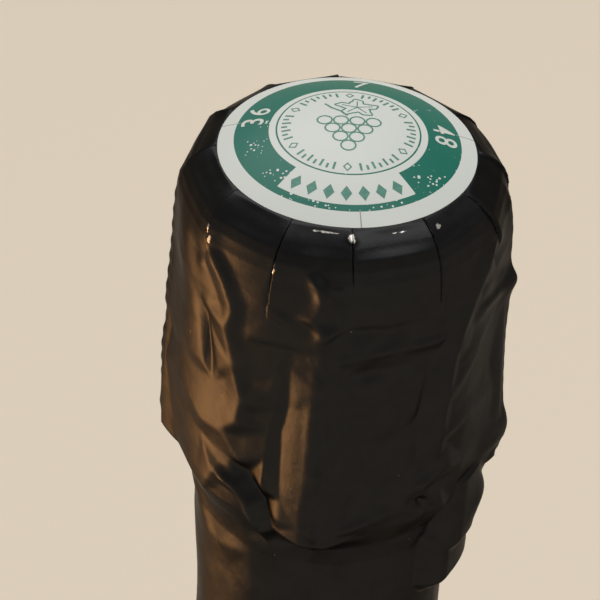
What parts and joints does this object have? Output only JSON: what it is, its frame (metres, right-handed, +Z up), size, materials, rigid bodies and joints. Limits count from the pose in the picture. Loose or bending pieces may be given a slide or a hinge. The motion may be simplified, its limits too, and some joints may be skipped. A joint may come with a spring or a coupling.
{
  "type": "sparkling wine bottle",
  "caption": "Sealed sparkling wine bottle in dark green glass, with wine, a mushroom cork, a domed cap plate, a twisted wire cage, pleated neck foil and a printed top disc.",
  "frame": {"origin": "centre of the base ring, on the plane that the bottle stands on", "axes": "+Z up the bottle's axis, towards the cork; the picture looks from the -Y side, with +X to the right"},
  "size_m": [0.0886, 0.0886, 0.322],
  "materials": {
    "bottle_glass": "smooth dark green glass",
    "wine": "clear pale gold liquid",
    "cork_agglomerate": "sanded agglomerated cork",
    "cork_natural": "sanded natural cork",
    "plate_steel": "lacquered tinplate",
    "wire_steel": "bright galvanised wire",
    "foil": "satin black lacquered foil",
    "disc": "gloss white lacquer with green print"
  },
  "bodies": {
    "bottle": {"bottle": "bottle_glass", "wine": "wine"},
    "cork": {"cork_body": "cork_agglomerate", "cork_disc_upper": "cork_natural", "cork_disc_lower": "cork_natural"},
    "cage": {"cap_plate": "plate_steel", "cage_wire": "wire_steel", "belt_wire": "wire_steel"},
    "foil": {"foil_skirt": "foil", "top_disc": "disc"}
  },
  "joints": [
    {"name": "cork_pull", "type": "slide", "parent": "bottle", "child": "cork", "axis": [0, 0, 1], "range_m": [0, 0.06]},
    {"name": "cage_lift", "type": "slide", "parent": "cork", "child": "cage", "axis": [0, 0, 1], "range_m": [0, 0.05], "deforming": ["cage_wire", "belt_wire"]},
    {"name": "foil_lift", "type": "slide", "parent": "cage", "child": "foil", "axis": [0, 0, 1], "range_m": [0, 0.11], "deforming": ["foil_skirt"]}
  ]
}
